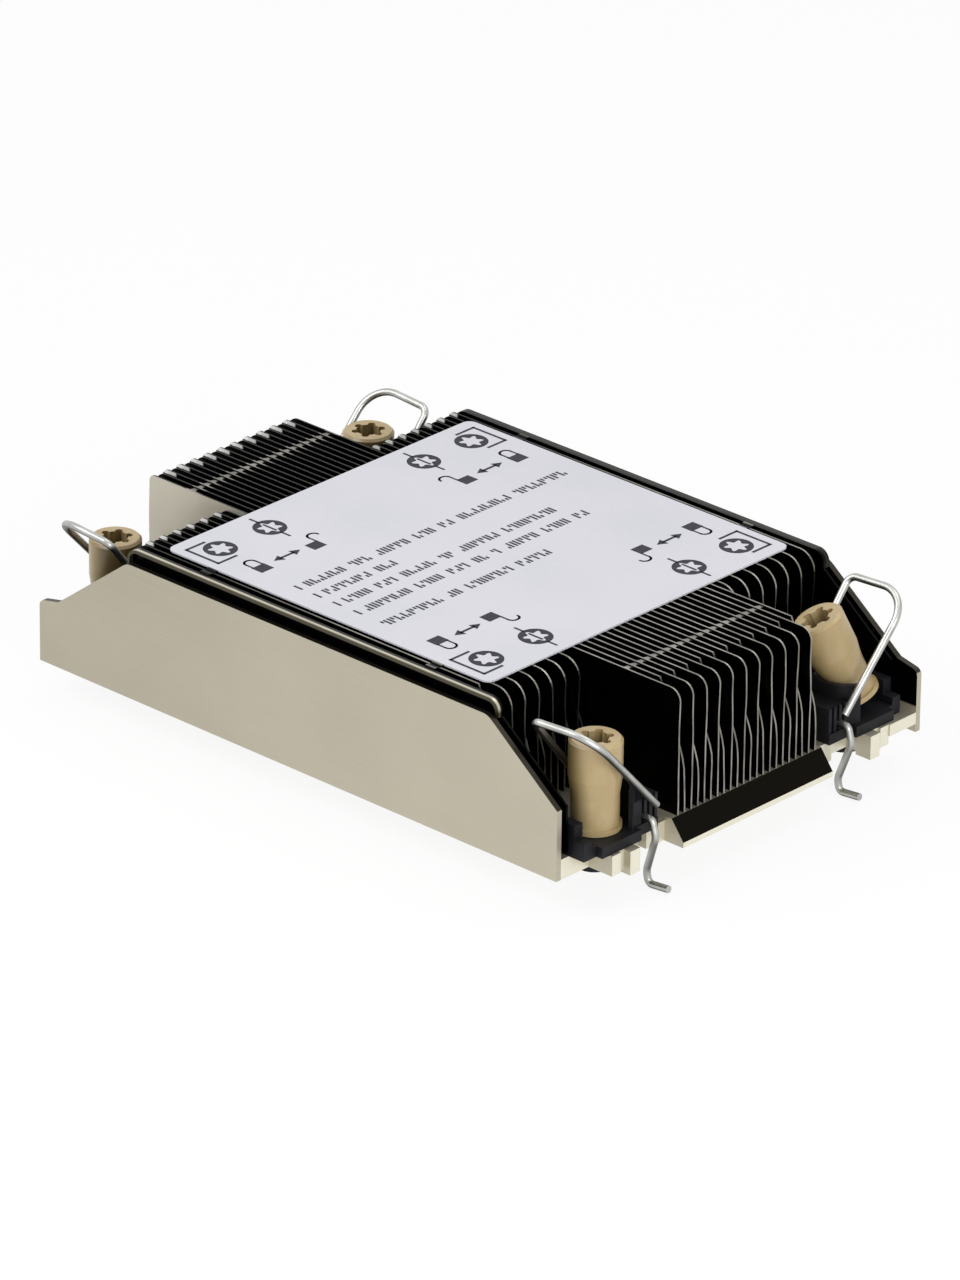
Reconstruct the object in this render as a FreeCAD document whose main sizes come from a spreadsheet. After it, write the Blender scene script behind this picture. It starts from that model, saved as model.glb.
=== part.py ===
import FreeCAD
import Part
import Sketcher
import math
import os
import re

# A low passive heatsink for a server processor: a plated base plate with two upright side
# walls, a pack of thin folded fins that fills the width between them and runs on as a
# narrower tongue at both ends, and at each corner a captive nut in a moulded retainer with
# a wire bail and hook that swings about the length of the heatsink.
# Millimetres. X runs along the fins, Z is up, and the origin is the middle of the contact
# face under the base plate. Turning the heatsink half a turn about Z gives it back.

os.makedirs("parts", exist_ok=True)
doc = FreeCAD.newDocument("ServerHeatsink")
sheet = doc.addObject("Spreadsheet::Sheet", "Sheet")
finished = []

# ---------------------------------------------------------------- driving dimensions
DRIVING = [
    ("lip_end", 59.0, "middle to the tip of the lip, half the length"),
    ("half_width", 39.0, "middle to the outer face of a side wall, half the width"),
    ("nut_from_tip", 7.8, "tip of the lip back to the nuts' axes"),
    ("nut_from_wall", 10.25, "outer face of a wall in to the nuts' axes"),
    ("lip_half", 17.2, "half the width of the lip"),
    ("lip_step", 0.9, "height of the upright face at the lip's tip"),
    ("lip_slope", 2.5, "length that the lip's slope covers"),
    ("base_top", 4.2, "top of the base plate, where the fins stand"),
    ("ear_step", 0.8, "how much lower the base plate's corner ears are"),
    ("ear_reach", 8.7, "nut's axis back to where the thinner ears begin"),
    ("ear_past", 3.9, "nut's axis on to the end face of an ear beside the lip"),
    ("notch_past", 2.4, "nut's axis on to the floor of the hook's notch"),
    ("notch_side", 7.45, "nut's axis to the side of the notch beside the lip"),
    ("foot_side", 2.25, "nut's axis to the side of a corner foot beside the notch"),
    ("foot_wide", 5.3, "width of a corner foot"),
    ("foot_past", 6.5, "nut's axis on to the end face of a foot"),
    ("nib_past", 0.9, "how far the nib beside the notch stands past that face"),
    ("nib_long", 3.0, "length of the nib's lower part"),
    ("nib_wide", 2.2, "width of the nib"),
    ("nib_drop", 0.6, "how far the nib reaches below the contact face"),
    ("groove_wide", 1.1, "width of the groove beside the nib"),
    ("groove_deep", 0.5, "depth of that groove"),
    ("relief_rise", 1.4, "height of the relief under the long corner of a wall"),
    ("hole_radius", 3.0, "hole in the base plate under each nut"),
    ("wall_thick", 1.0, "sheet of the side walls"),
    ("wall_top", 23.1, "top of the side walls"),
    ("wall_flat_in", 20.6, "tip of the lip back to where a wall's top edge starts down"),
    ("wall_short_in", 6.1, "tip of the lip back to the end of a wall without a shelf"),
    ("wall_short_rise", 11.8, "height of that end"),
    ("wall_long_in", 1.1, "tip of the lip back to the end of a wall with a shelf"),
    ("wall_long_rise", 10.5, "height of that end"),
    ("shelf_long", 4.2, "length of the shelf"),
    ("shelf_rise", 0.9, "how much the shelf climbs"),
    ("shelf_round", 1.2, "radius of the shelf's outer corner"),
    ("wall_round", 3.0, "radius of the corners at the ends of a wall's top edge"),
    ("fin_pitch", 1.5, "from one fin to the next"),
    ("fin_thick", 0.3, "sheet of the fins"),
    ("fin_top", 25.2, "top of the fins"),
    ("tongue_in", 0.8, "side of the lip in to the side of the tongue's fins"),
    ("tongue_round", 2.0, "radius of the top corner of the tongue's fins"),
    ("tongue_nick", 1.2, "radius of the plain fins' corner at the other end"),
    ("pack_in", 20.4, "tip of the lip back to the end of the fins beside the tongue"),
    ("pack_far", 0.9, "how much further they reach at the other end"),
    ("pack_round", 3.0, "radius of the top corner of the plain ones"),
    ("cut_rise", 12.0, "height at which a fin's cut-back end starts to lean"),
    ("cut_back", 5.5, "how far it has leaned at the top"),
    ("tab_in", 14.0, "tip of the lip back to a row of locking tabs"),
    ("tab_long", 1.6, "length of one tab along the fin"),
    ("tab_thick", 0.3, "thickness of one tab"),
    ("tab_gap", 0.05, "gap from a tab to the next fin"),
    ("edge_thick", 0.4, "sheet of the flanged fin beside each wall"),
    ("edge_flange", 0.5, "thickness of its flange, seen from the side"),
    ("edge_gap", 0.1, "gap from the flange to the wall"),
    ("edge_in", 19.6, "tip of the lip back to the turned-down ends of the flange"),
    ("edge_round", 2.0, "outer radius of those ends"),
    ("edge_over", 0.1, "how far its sloping edge stands over the wall's"),
    ("label_long", 34.3, "half the label's length"),
    ("label_wide", 34.4, "half the label's width"),
    ("label_thick", 0.3, "label"),
    ("label_round", 1.5, "radius of the label's corners"),
    ("nut_high", 14.9, "height of a nut"),
    ("nut_radius", 4.2, "head of a nut"),
    ("nut_waist", 3.8, "lower part of a nut"),
    ("nut_head_high", 6.2, "height of the full-width head"),
    ("nut_taper", 3.0, "height of the taper under the head"),
    ("flange_radius", 4.2, "foot flange of a nut"),
    ("flange_thick", 0.8, "thickness of that flange"),
    ("nut_chamfer", 0.4, "bevel round the top of a nut"),
    ("socket_core", 2.0, "core radius of the six-lobe socket"),
    ("lobe_radius", 0.62, "radius of one lobe"),
    ("lobe_centre", 2.2, "nut's axis to the middle of a lobe"),
    ("socket_deep", 5.0, "depth of the socket"),
    ("stud_radius", 2.1, "threaded bore that takes the stud"),
    ("stud_deep", 8.0, "depth of the threaded bore"),
    ("nut_lift", 0.1, "play under a nut that stands upright"),
    ("lean_across", 20.4, "degrees that the loose nut leans towards the tongue"),
    ("lean_along", 14.6, "degrees that it leans towards the middle"),
    ("loose_x", 0.75, "shift of the loose nut's foot along the fins"),
    ("loose_y", 1.2, "shift of the loose nut's foot across the fins"),
    ("loose_lift", 2.1, "lift of the loose nut's foot"),
    ("plate_thick", 1.8, "thickness of a retainer's plate"),
    ("plate_back", 5.2, "nut's axis back to the near end of the plate"),
    ("plate_on", 4.8, "nut's axis on to the far end of the plate"),
    ("plate_side", 9.05, "nut's axis to the side of the plate beside the tongue"),
    ("plate_past", 7.55, "nut's axis to the side of the plate beside the wall"),
    ("apron_out", 1.2, "how far the plate's apron stands past its far end, over the foot"),
    ("apron_in", 4.05, "nut's axis in to the side of the apron beside the hook"),
    ("apron_past", 4.75, "nut's axis out to its other side"),
    ("bush_gap", 0.1, "gap from the bush to the hole in the base plate"),
    ("bush_wall", 0.6, "wall of the bush that snaps through the base plate"),
    ("bush_drop", 1.2, "how far the bush reaches below the contact face"),
    ("collar_in", 5.2, "inner radius of the collar beside a nut"),
    ("collar_wall", 0.8, "wall of the collar"),
    ("collar_high", 6.6, "height of the collar over the plate"),
    ("collar_side", 2.6, "gap from the nut's axis to the collar's open side"),
    ("block_back", 4.0, "nut's axis back to the near end of the block that carries the wire"),
    ("block_on", 4.6, "nut's axis on to the far end of that block"),
    ("block_wide", 5.3, "width of that block"),
    ("block_high", 4.2, "height of that block over the plate"),
    ("rib_deep", 0.4, "depth of the ribs on the block's end face"),
    ("rib_wide", 0.6, "width of one rib"),
    ("post_back", 3.7, "nut's axis back to the near end of the post beside the wall"),
    ("post_long", 6.5, "length of the post"),
    ("post_wide", 1.8, "width of the post"),
    ("post_high", 3.6, "height of the post over the plate"),
    ("corner_high", 1.2, "height of the low corner block over the plate"),
    ("wire_radius", 0.6, "wire of the bails"),
    ("wire_play", 0.05, "play of the wire in its bearing"),
    ("pivot_side", 6.25, "nut's axis to the pivot of a bail"),
    ("pivot_high", 1.0, "height of that pivot over the plate"),
    ("bail_half", 6.1, "nut's axis to either leg of a bail"),
    ("bail_out", 13.7, "how far a bail's top stands out from its pivot"),
    ("bail_high", 17.2, "height of a bail's top over its pivot"),
    ("bail_slope", 0.8, "how much higher the outer end of the top is"),
    ("leg_in", 0.9, "how far the free end of the outer leg stands in from the pivot"),
    ("leg_high", 2.2, "height of that free end over the pivot"),
    ("hook_bulge_out", 0.8, "outer leg on to the outermost part of the hook above"),
    ("hook_bulge_down", 2.8, "its depth under the pivot"),
    ("hook_waist_in", 1.4, "outer leg back to the innermost part of the hook below"),
    ("hook_waist_down", 9.3, "its depth under the pivot"),
    ("hook_toe_out", 3.2, "outer leg on to the tip of the toe"),
    ("hook_toe_down", 10.9, "depth of the toe's tip under the pivot"),
    ("hook_heel_in", 0.9, "outer leg back to the heel of the toe"),
    ("hook_heel_down", 11.3, "depth of the heel under the pivot"),
    ("hook_toe_in", 0.5, "how far the toe stands inside the pivot"),
]

# Sizes that follow from the driving ones.
DERIVED = [
    ("nut_x", "lip_end - nut_from_tip"),
    ("nut_y", "half_width - nut_from_wall"),
    ("lip_shoulder", "lip_end - lip_slope"),
    ("deck_half", "half_width - wall_thick"),
    ("wall_middle", "half_width - wall_thick / 2"),
    ("ear_top", "base_top - ear_step"),
    ("ear_start", "nut_x - ear_reach"),
    ("ear_end", "nut_x + ear_past"),
    ("notch_floor", "nut_x + notch_past"),
    ("notch_in", "nut_y - notch_side"),
    ("foot_in", "nut_y - foot_side"),
    ("foot_out", "foot_in + foot_wide"),
    ("foot_step", "nut_x + foot_past"),
    ("foot_end", "foot_step + nib_past"),
    ("nib_start", "foot_end - nib_long"),
    ("nib_side", "foot_in + nib_wide"),
    ("groove_side", "nib_side + groove_wide"),
    ("groove_floor", "foot_step - groove_deep"),
    ("wall_flat", "lip_end - wall_flat_in"),
    ("wall_short", "lip_end - wall_short_in"),
    ("wall_long", "lip_end - wall_long_in"),
    ("shelf_end", "wall_long - shelf_long"),
    ("shelf_top", "wall_long_rise + shelf_rise"),
    ("tongue_half", "lip_half - tongue_in"),
    ("tongue_cut", "lip_shoulder - cut_back"),
    ("pack_end", "lip_end - pack_in"),
    ("pack_cut", "pack_end - cut_back"),
    ("pack_start", "pack_end + pack_far"),
    ("tab_low", "fin_top - tab_thick"),
    ("tab_inner", "lip_end - tab_in - tab_long / 2"),
    ("tab_outer", "lip_end - tab_in + tab_long / 2"),
    ("edge_outer", "deck_half - edge_gap"),
    ("edge_end", "lip_end - edge_in"),
    ("edge_short_rise", "wall_short_rise + edge_over"),
    ("edge_long_rise", "shelf_top + edge_over"),
    ("edge_short_meet", "edge_short_rise + (wall_short - edge_end) * (wall_top - wall_short_rise)"
                        " / (wall_short - wall_flat)"),
    ("edge_long_meet", "edge_long_rise + (shelf_end - edge_end) * (wall_top - shelf_top)"
                       " / (shelf_end - wall_flat)"),
    ("edge_end_in", "edge_end - edge_flange"),
    ("edge_top_in", "fin_top - edge_flange"),
    ("plate_top", "ear_top + plate_thick"),
    ("plate_start", "nut_x - plate_back"),
    ("plate_end", "nut_x + plate_on"),
    ("plate_in", "nut_y - plate_side"),
    ("plate_out", "nut_y + plate_past"),
    ("bush_radius", "hole_radius - bush_gap"),
    ("bush_bore", "bush_radius - bush_wall"),
    ("collar_out", "collar_in + collar_wall"),
    ("collar_top", "plate_top + collar_high"),
    ("block_start", "nut_x - block_back"),
    ("block_end", "nut_x + block_on"),
    ("block_out", "plate_in + block_wide"),
    ("block_top", "plate_top + block_high"),
    ("post_start", "nut_x - post_back"),
    ("post_end", "post_start + post_long"),
    ("post_in", "plate_out - post_wide"),
    ("post_top", "plate_top + post_high"),
    ("corner_top", "plate_top + corner_high"),
    ("nut_bottom", "plate_top + nut_lift"),
    ("nut_head_low", "nut_high - nut_head_high"),
    ("nut_waist_top", "nut_head_low - nut_taper"),
    ("nut_rim", "nut_radius - nut_chamfer"),
    ("nut_shoulder", "nut_high - nut_chamfer"),
    ("bearing_radius", "wire_radius + wire_play"),
    ("pivot_y", "nut_y - pivot_side"),
    ("pivot_z", "plate_top + pivot_high"),
    ("bail_near", "nut_x - bail_half"),
    ("bail_far", "nut_x + bail_half"),
    ("bail_top_y", "pivot_y + bail_out"),
    ("bail_top_z", "pivot_z + bail_high"),
    ("leg_end_y", "pivot_y - leg_in"),
    ("leg_end_z", "pivot_z + leg_high"),
    ("hook_bulge_x", "bail_far + hook_bulge_out"),
    ("hook_bulge_z", "pivot_z - hook_bulge_down"),
    ("hook_waist_x", "bail_far - hook_waist_in"),
    ("hook_waist_z", "pivot_z - hook_waist_down"),
    ("hook_toe_x", "bail_far + hook_toe_out"),
    ("hook_toe_z", "pivot_z - hook_toe_down"),
    ("hook_heel_x", "bail_far - hook_heel_in"),
    ("hook_heel_z", "pivot_z - hook_heel_down"),
    ("toe_y", "pivot_y - hook_toe_in"),
]

for row, (alias, value, note) in enumerate(DRIVING, start=1):
    sheet.set(f"A{row}", note)
    sheet.set(f"B{row}", str(value))
    sheet.setAlias(f"B{row}", alias)
for row, (alias, formula) in enumerate(DERIVED, start=len(DRIVING) + 1):
    sheet.set(f"B{row}", "=" + formula)
    sheet.setAlias(f"B{row}", alias)
doc.recompute()


# ---------------------------------------------------------------- helpers
def size(cell):
    # The number in a cell, given by its alias, with a minus sign in front if wanted.
    if cell == "0":
        return 0.0
    if cell.startswith("-"):
        return -size(cell[1:])
    return float(sheet.get(cell))


def formula(text):
    # The same formula with the sheet's name in front of each alias.
    return re.sub(r"[a-z][a-z_]+", lambda word: "Sheet." + word.group(0), text)


def flipped(cell, sign):
    if sign > 0 or cell == "0":
        return cell
    return cell[1:] if cell.startswith("-") else "-" + cell


def new_body(label):
    body = doc.addObject("PartDesign::Body", label)
    body.Label = label
    return body


def new_sketch(body, name, role, lift="0"):
    sketch = body.newObject("Sketcher::SketchObject", name)
    plane = next(item for item in body.Origin.OriginFeatures if item.Role == role)
    sketch.AttachmentSupport = [(plane, "")]
    sketch.MapMode = "FlatFace"
    if lift != "0":
        sketch.setExpression("AttachmentOffset.Base.z", formula(lift))
    return sketch


def place_point(sketch, curve, end, corner):
    # Ties one end of a curve to a pair of cells.
    for kind, cell in zip(("DistanceX", "DistanceY"), corner):
        index = sketch.addConstraint(Sketcher.Constraint(kind, curve, end, size(cell)))
        if cell != "0":
            sketch.setExpression(f"Constraints[{index}]", formula(cell))


def add_outline(sketch, corners):
    # A closed outline of straight lines, with every corner tied to the sheet.
    spots = [FreeCAD.Vector(size(across), size(up), 0) for across, up in corners]
    lines = [Part.LineSegment(a, b) for a, b in zip(spots, spots[1:] + spots[:1])]
    curves = sketch.addGeometry(lines, False)
    for curve, following in zip(curves, curves[1:] + curves[:1]):
        sketch.addConstraint(Sketcher.Constraint("Coincident", curve, 2, following, 1))
    for curve, corner in zip(curves, corners):
        place_point(sketch, curve, 1, corner)


def add_circle(sketch, centre, radius):
    spot = FreeCAD.Vector(size(centre[0]), size(centre[1]), 0)
    circle = Part.Circle(spot, FreeCAD.Vector(0, 0, 1), size(radius))
    curve = sketch.addGeometry(circle, False)
    place_point(sketch, curve, 3, centre)
    index = sketch.addConstraint(Sketcher.Constraint("Radius", curve, size(radius)))
    sketch.setExpression(f"Constraints[{index}]", formula(radius))


def add_pad(body, sketch, name, length, reverse=False, middle=False):
    pad = body.newObject("PartDesign::Pad", name)
    pad.Profile = sketch
    pad.setExpression("Length", formula(length))
    pad.Reversed = reverse
    pad.Midplane = middle
    return pad


def add_pocket(body, sketch, name, depth, reverse=False):
    pocket = body.newObject("PartDesign::Pocket", name)
    pocket.Profile = sketch
    pocket.setExpression("Length", formula(depth))
    pocket.Reversed = reverse
    return pocket


def round_corners(body, name, spots, radius):
    # Rounds the edges whose middle stands over one of the spots, seen along the edge.
    doc.recompute()
    before = body.Tip
    chosen = []
    for number, edge in enumerate(before.Shape.Edges, start=1):
        middle = edge.CenterOfMass
        if any(all(abs(middle[axis] - place) < 1e-4 for axis, place in spot.items()) for spot in spots):
            chosen.append(f"Edge{number}")
    fillet = body.newObject("PartDesign::Fillet", name)
    fillet.Base = (before, chosen)
    fillet.setExpression("Radius", formula(radius))
    return fillet


def box(name, signs, x, y, z):
    # A block between two faces on each axis, given for the corner where X and Y are positive.
    block = doc.addObject("Part::Box", name)
    for side, (low, high) in zip(("Length", "Width", "Height"), (x, y, z)):
        block.setExpression(side, formula(f"({high}) - ({low})"))
    for axis, sign, (low, high) in zip("xyz", (*signs, 1), (x, y, z)):
        start = low if sign > 0 else f"-({high})"
        block.setExpression(f"Placement.Base.{axis}", formula(start))
    return block


def post(name, signs, radius, bottom, top):
    # An upright cylinder on a nut's axis.
    cylinder = doc.addObject("Part::Cylinder", name)
    cylinder.setExpression("Radius", formula(radius))
    cylinder.setExpression("Height", formula(f"({top}) - ({bottom})"))
    for axis, sign, cell in zip("xyz", (*signs, 1), ("nut_x", "nut_y", bottom)):
        cylinder.setExpression(f"Placement.Base.{axis}", formula(cell if sign > 0 else f"-({cell})"))
    return cylinder


def combine(kind, name, pieces):
    joined = doc.addObject(kind, name)
    if kind == "Part::Cut":
        joined.Base, joined.Tool = pieces
    else:
        joined.Shapes = pieces
    joined.Refine = True
    return joined


# ---------------------------------------------------------------- base plate
def make_base():
    body = new_body("base_plate")

    lip = new_sketch(body, "LipProfile", "XZ_Plane")
    add_outline(lip, [("-lip_end", "0"), ("lip_end", "0"), ("lip_end", "lip_step"),
                      ("lip_shoulder", "base_top"), ("-lip_shoulder", "base_top"),
                      ("-lip_end", "lip_step")])
    add_pad(body, lip, "Lip", "2 * lip_half", middle=True)

    deck = new_sketch(body, "DeckOutline", "XY_Plane")
    add_outline(deck, [("-ear_start", "-deck_half"), ("ear_start", "-deck_half"),
                       ("ear_start", "deck_half"), ("-ear_start", "deck_half")])
    add_pad(body, deck, "Deck", "base_top")

    # The ears, thinner than the deck. Half a turn about Z carries one end onto the other.
    for end, sign in (("Right", 1), ("Left", -1)):
        ears = new_sketch(body, end + "EarOutline", "XY_Plane")
        outline = [("ear_start", "-deck_half"), ("wall_short", "-deck_half"),
                   ("wall_short", "-foot_out"), ("foot_step", "-foot_out"),
                   ("foot_step", "-nib_side"), ("foot_end", "-nib_side"),
                   ("foot_end", "-foot_in"), ("notch_floor", "-foot_in"),
                   ("notch_floor", "-notch_in"), ("ear_end", "-notch_in"),
                   ("ear_end", "notch_in"), ("notch_floor", "notch_in"),
                   ("notch_floor", "foot_in"), ("foot_end", "foot_in"),
                   ("foot_end", "nib_side"), ("foot_step", "nib_side"),
                   ("foot_step", "foot_out"), ("wall_long", "foot_out"),
                   ("wall_long", "deck_half"), ("ear_start", "deck_half")]
        add_outline(ears, [(flipped(x, sign), flipped(y, sign)) for x, y in outline])
        add_pad(body, ears, end + "Ears", "ear_top")

    feet = new_sketch(body, "NibOutline", "XY_Plane")
    grooves = new_sketch(body, "GrooveOutline", "XY_Plane")
    relief = new_sketch(body, "ReliefOutline", "XY_Plane")
    holes = new_sketch(body, "HoleOutline", "XY_Plane")
    for sign_x in (1, -1):
        for sign_y in (1, -1):
            def here(corners):
                return [(flipped(x, sign_x), flipped(y, sign_y)) for x, y in corners]

            add_outline(feet, here([("nib_start", "foot_in"), ("foot_end", "foot_in"),
                                    ("foot_end", "nib_side"), ("nib_start", "nib_side")]))
            add_outline(grooves, here([("groove_floor", "nib_side"), ("foot_step", "nib_side"),
                                       ("foot_step", "groove_side"), ("groove_floor", "groove_side")]))
            add_circle(holes, *here([("nut_x", "nut_y")]), "hole_radius")
            if sign_x == sign_y:
                add_outline(relief, here([("notch_floor", "foot_out"), ("wall_long", "foot_out"),
                                          ("wall_long", "deck_half"), ("notch_floor", "deck_half")]))
    add_pad(body, feet, "Nibs", "nib_drop", reverse=True)
    add_pocket(body, grooves, "Grooves", "ear_top", reverse=True)
    add_pocket(body, relief, "Relief", "relief_rise", reverse=True)
    add_pocket(body, holes, "NutHoles", "base_top", reverse=True)
    finished.append(body)


# ---------------------------------------------------------------- side walls
def make_wall(label, sign):
    body = new_body(label)
    outline = new_sketch(body, "WallOutline", "XZ_Plane")
    corners = [("wall_short", "0"), ("wall_short", "wall_short_rise"), ("wall_flat", "wall_top"),
               ("-wall_flat", "wall_top"), ("-shelf_end", "shelf_top"),
               ("-wall_long", "wall_long_rise"), ("-wall_long", "0")]
    add_outline(outline, [(flipped(x, -sign), z) for x, z in corners])
    add_pad(body, outline, "Wall", "wall_thick", middle=True)
    round_corners(body, "TopCorner", [{0: size("wall_flat"), 2: size("wall_top")},
                                      {0: -size("wall_flat"), 2: size("wall_top")}], "wall_round")
    round_corners(body, "ShelfCorner", [{0: sign * size("wall_long"), 2: size("wall_long_rise")}],
                  "shelf_round")
    body.setExpression("Placement.Base.y", formula(flipped("wall_middle", sign)))
    finished.append(body)


# ---------------------------------------------------------------- fins
def fin_outline(start, end, cut, plain):
    # Two kinds of fin alternate. Both are upright at the start; at the end the plain one is
    # upright too, and the other leans back.
    lean = [(end, "fin_top")] if plain else [(end, "cut_rise"), (cut, "fin_top")]
    return [("-" + start, "base_top"), (end, "base_top")] + lean + [("-" + start, "fin_top")]


def round_fin(body, name, start, end, plain, radius_at_end, place=None):
    # Rounds the upper corners of the upright ends.
    ends = [(-size(start), "tongue_nick" if plain else "tongue_round")]
    if plain:
        ends.append((size(end), radius_at_end))
    for number, (x, radius) in enumerate(ends):
        spot = {0: x, 2: size("fin_top")}
        if place is not None:
            spot[1] = place
        round_corners(body, f"{name}{number + 1}", [spot], radius)


def make_tongue_fin(index, place, last):
    plain = index % 2 == 0
    body = new_body(f"tongue_fin_{index + 1:02d}")
    sheet_metal = new_sketch(body, "FinOutline", "XZ_Plane")
    add_outline(sheet_metal, fin_outline("lip_shoulder", "lip_shoulder", "tongue_cut", plain))
    add_pad(body, sheet_metal, "Sheet", "fin_thick", middle=True)
    round_fin(body, "Corner", "lip_shoulder", "lip_shoulder", plain, "tongue_round")
    if not last:
        # Two locking tabs folded over towards the next fin.
        tabs = new_sketch(body, "TabOutline", "XZ_Plane")
        for side in (1, -1):
            tab = [("tab_inner", "tab_low"), ("tab_outer", "tab_low"),
                   ("tab_outer", "fin_top"), ("tab_inner", "fin_top")]
            add_outline(tabs, [(flipped(x, side), z) for x, z in tab])
        add_pad(body, tabs, "Tabs", "fin_pitch - fin_thick / 2 - tab_gap", reverse=True)
    body.setExpression("Placement.Base.y", formula(place))
    finished.append(body)


def make_pack_fins(index, row):
    # The fin at this place on either side of the tongue, two alike on one carrier.
    body = new_body(f"side_fin_pair_{row + 1:02d}")
    body.AllowCompound = True
    for side in (1, -1):
        plain = (row % 2 == 0) == (side > 0)
        name = "Rear" if side > 0 else "Front"
        sheet_metal = new_sketch(body, name + "Outline", "XZ_Plane")
        sheet_metal.setExpression("AttachmentOffset.Base.z",
                                  formula(f"{-side * (index + 0.5)} * fin_pitch"))
        add_outline(sheet_metal, fin_outline("pack_start", "pack_end", "pack_cut", plain))
        add_pad(body, sheet_metal, name + "Sheet", "fin_thick", middle=True)
        round_fin(body, name + "Corner", "pack_start", "pack_end", plain, "pack_round",
                  side * (index + 0.5) * size("fin_pitch"))
    finished.append(body)


def make_edge_fin(label, sign, index):
    # The outermost fin: its top is folded out towards the side wall, with both ends of the
    # fold turned down. Beyond them its ends lean as the wall's do.
    body = new_body(label)
    slopes = [("-edge_end", "edge_long_meet"), ("-shelf_end", "edge_long_rise"),
              ("-shelf_end", "base_top"), ("wall_short", "base_top"),
              ("wall_short", "edge_short_rise"), ("edge_end", "edge_short_meet")]
    outer = slopes + [("edge_end", "fin_top"), ("-edge_end", "fin_top")]
    inner = slopes + [("edge_end_in", "edge_short_meet"), ("edge_end_in", "edge_top_in"),
                      ("-edge_end_in", "edge_top_in"), ("-edge_end_in", "edge_long_meet")]
    rim = new_sketch(body, "RimOutline", "XZ_Plane")
    add_outline(rim, [(flipped(x, -sign), z) for x, z in outer])
    inwards = sign > 0
    add_pad(body, rim, "Rim", f"edge_outer - {index + 0.5} * fin_pitch + edge_thick / 2", reverse=not inwards)
    tray = new_sketch(body, "TrayOutline", "XZ_Plane")
    add_outline(tray, [(flipped(x, -sign), z) for x, z in inner])
    add_pocket(body, tray, "Tray", f"edge_outer - {index + 0.5} * fin_pitch - edge_thick / 2",
               reverse=inwards)
    for name, across, up, radius in (("Outer", "edge_end", "fin_top", "edge_round"),
                                     ("Inner", "edge_end_in", "edge_top_in", "edge_round - edge_flange")):
        round_corners(body, name + "Corner", [{0: side * size(across), 2: size(up)} for side in (1, -1)], radius)
    body.setExpression("Placement.Base.y", formula(flipped("edge_outer", sign)))
    finished.append(body)


# ---------------------------------------------------------------- label
def make_label():
    body = new_body("label")
    outline = new_sketch(body, "LabelOutline", "XY_Plane", "fin_top")
    add_outline(outline, [("-label_long", "-label_wide"), ("label_long", "-label_wide"),
                          ("label_long", "label_wide"), ("-label_long", "label_wide")])
    add_pad(body, outline, "Film", "label_thick")
    long, wide = size("label_long"), size("label_wide")
    round_corners(body, "Corners", [{0: x, 1: y} for x in (long, -long) for y in (wide, -wide)], "label_round")
    finished.append(body)


# ---------------------------------------------------------------- nuts
def make_nut(label, signs, loose):
    body = new_body(label)
    profile = new_sketch(body, "NutProfile", "XZ_Plane")
    add_outline(profile, [("0", "0"), ("flange_radius", "0"), ("flange_radius", "flange_thick"),
                          ("nut_waist", "flange_thick"), ("nut_waist", "nut_waist_top"),
                          ("nut_radius", "nut_head_low"), ("nut_radius", "nut_shoulder"),
                          ("nut_rim", "nut_high"), ("0", "nut_high")])
    turned = body.newObject("PartDesign::Revolution", "Turned")
    turned.Profile = profile
    turned.ReferenceAxis = (profile, ["V_Axis"])
    turned.Angle = 360

    stud = new_sketch(body, "StudCircle", "XY_Plane")
    add_circle(stud, ("0", "0"), "stud_radius")
    add_pocket(body, stud, "StudBore", "stud_deep", reverse=True)
    core = new_sketch(body, "SocketCore", "XY_Plane", "nut_high")
    add_circle(core, ("0", "0"), "socket_core")
    add_pocket(body, core, "Socket", "socket_deep")
    lobe = new_sketch(body, "SocketLobe", "XY_Plane", "nut_high")
    add_circle(lobe, ("lobe_centre", "0"), "lobe_radius")
    cut = add_pocket(body, lobe, "Lobe", "socket_deep")
    lobes = body.newObject("PartDesign::PolarPattern", "Lobes")
    lobes.Originals = [cut]
    lobes.Axis = (lobe, ["N_Axis"])
    lobes.Angle = 360
    lobes.Occurrences = 6
    body.Tip = lobes

    place = ["nut_x", "nut_y", "nut_bottom"]
    if loose:
        place = ["nut_x + loose_x", "nut_y + loose_y", "nut_bottom + loose_lift"]
        across = FreeCAD.Rotation(FreeCAD.Vector(1, 0, 0), size("lean_across"))
        along = FreeCAD.Rotation(FreeCAD.Vector(0, 1, 0), -size("lean_along"))
        body.Placement.Rotation = across * along
    for axis, sign, text in zip("xyz", (*signs, 1), place):
        body.setExpression(f"Placement.Base.{axis}", formula(text if sign > 0 else f"-({text})"))
    finished.append(body)


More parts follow.
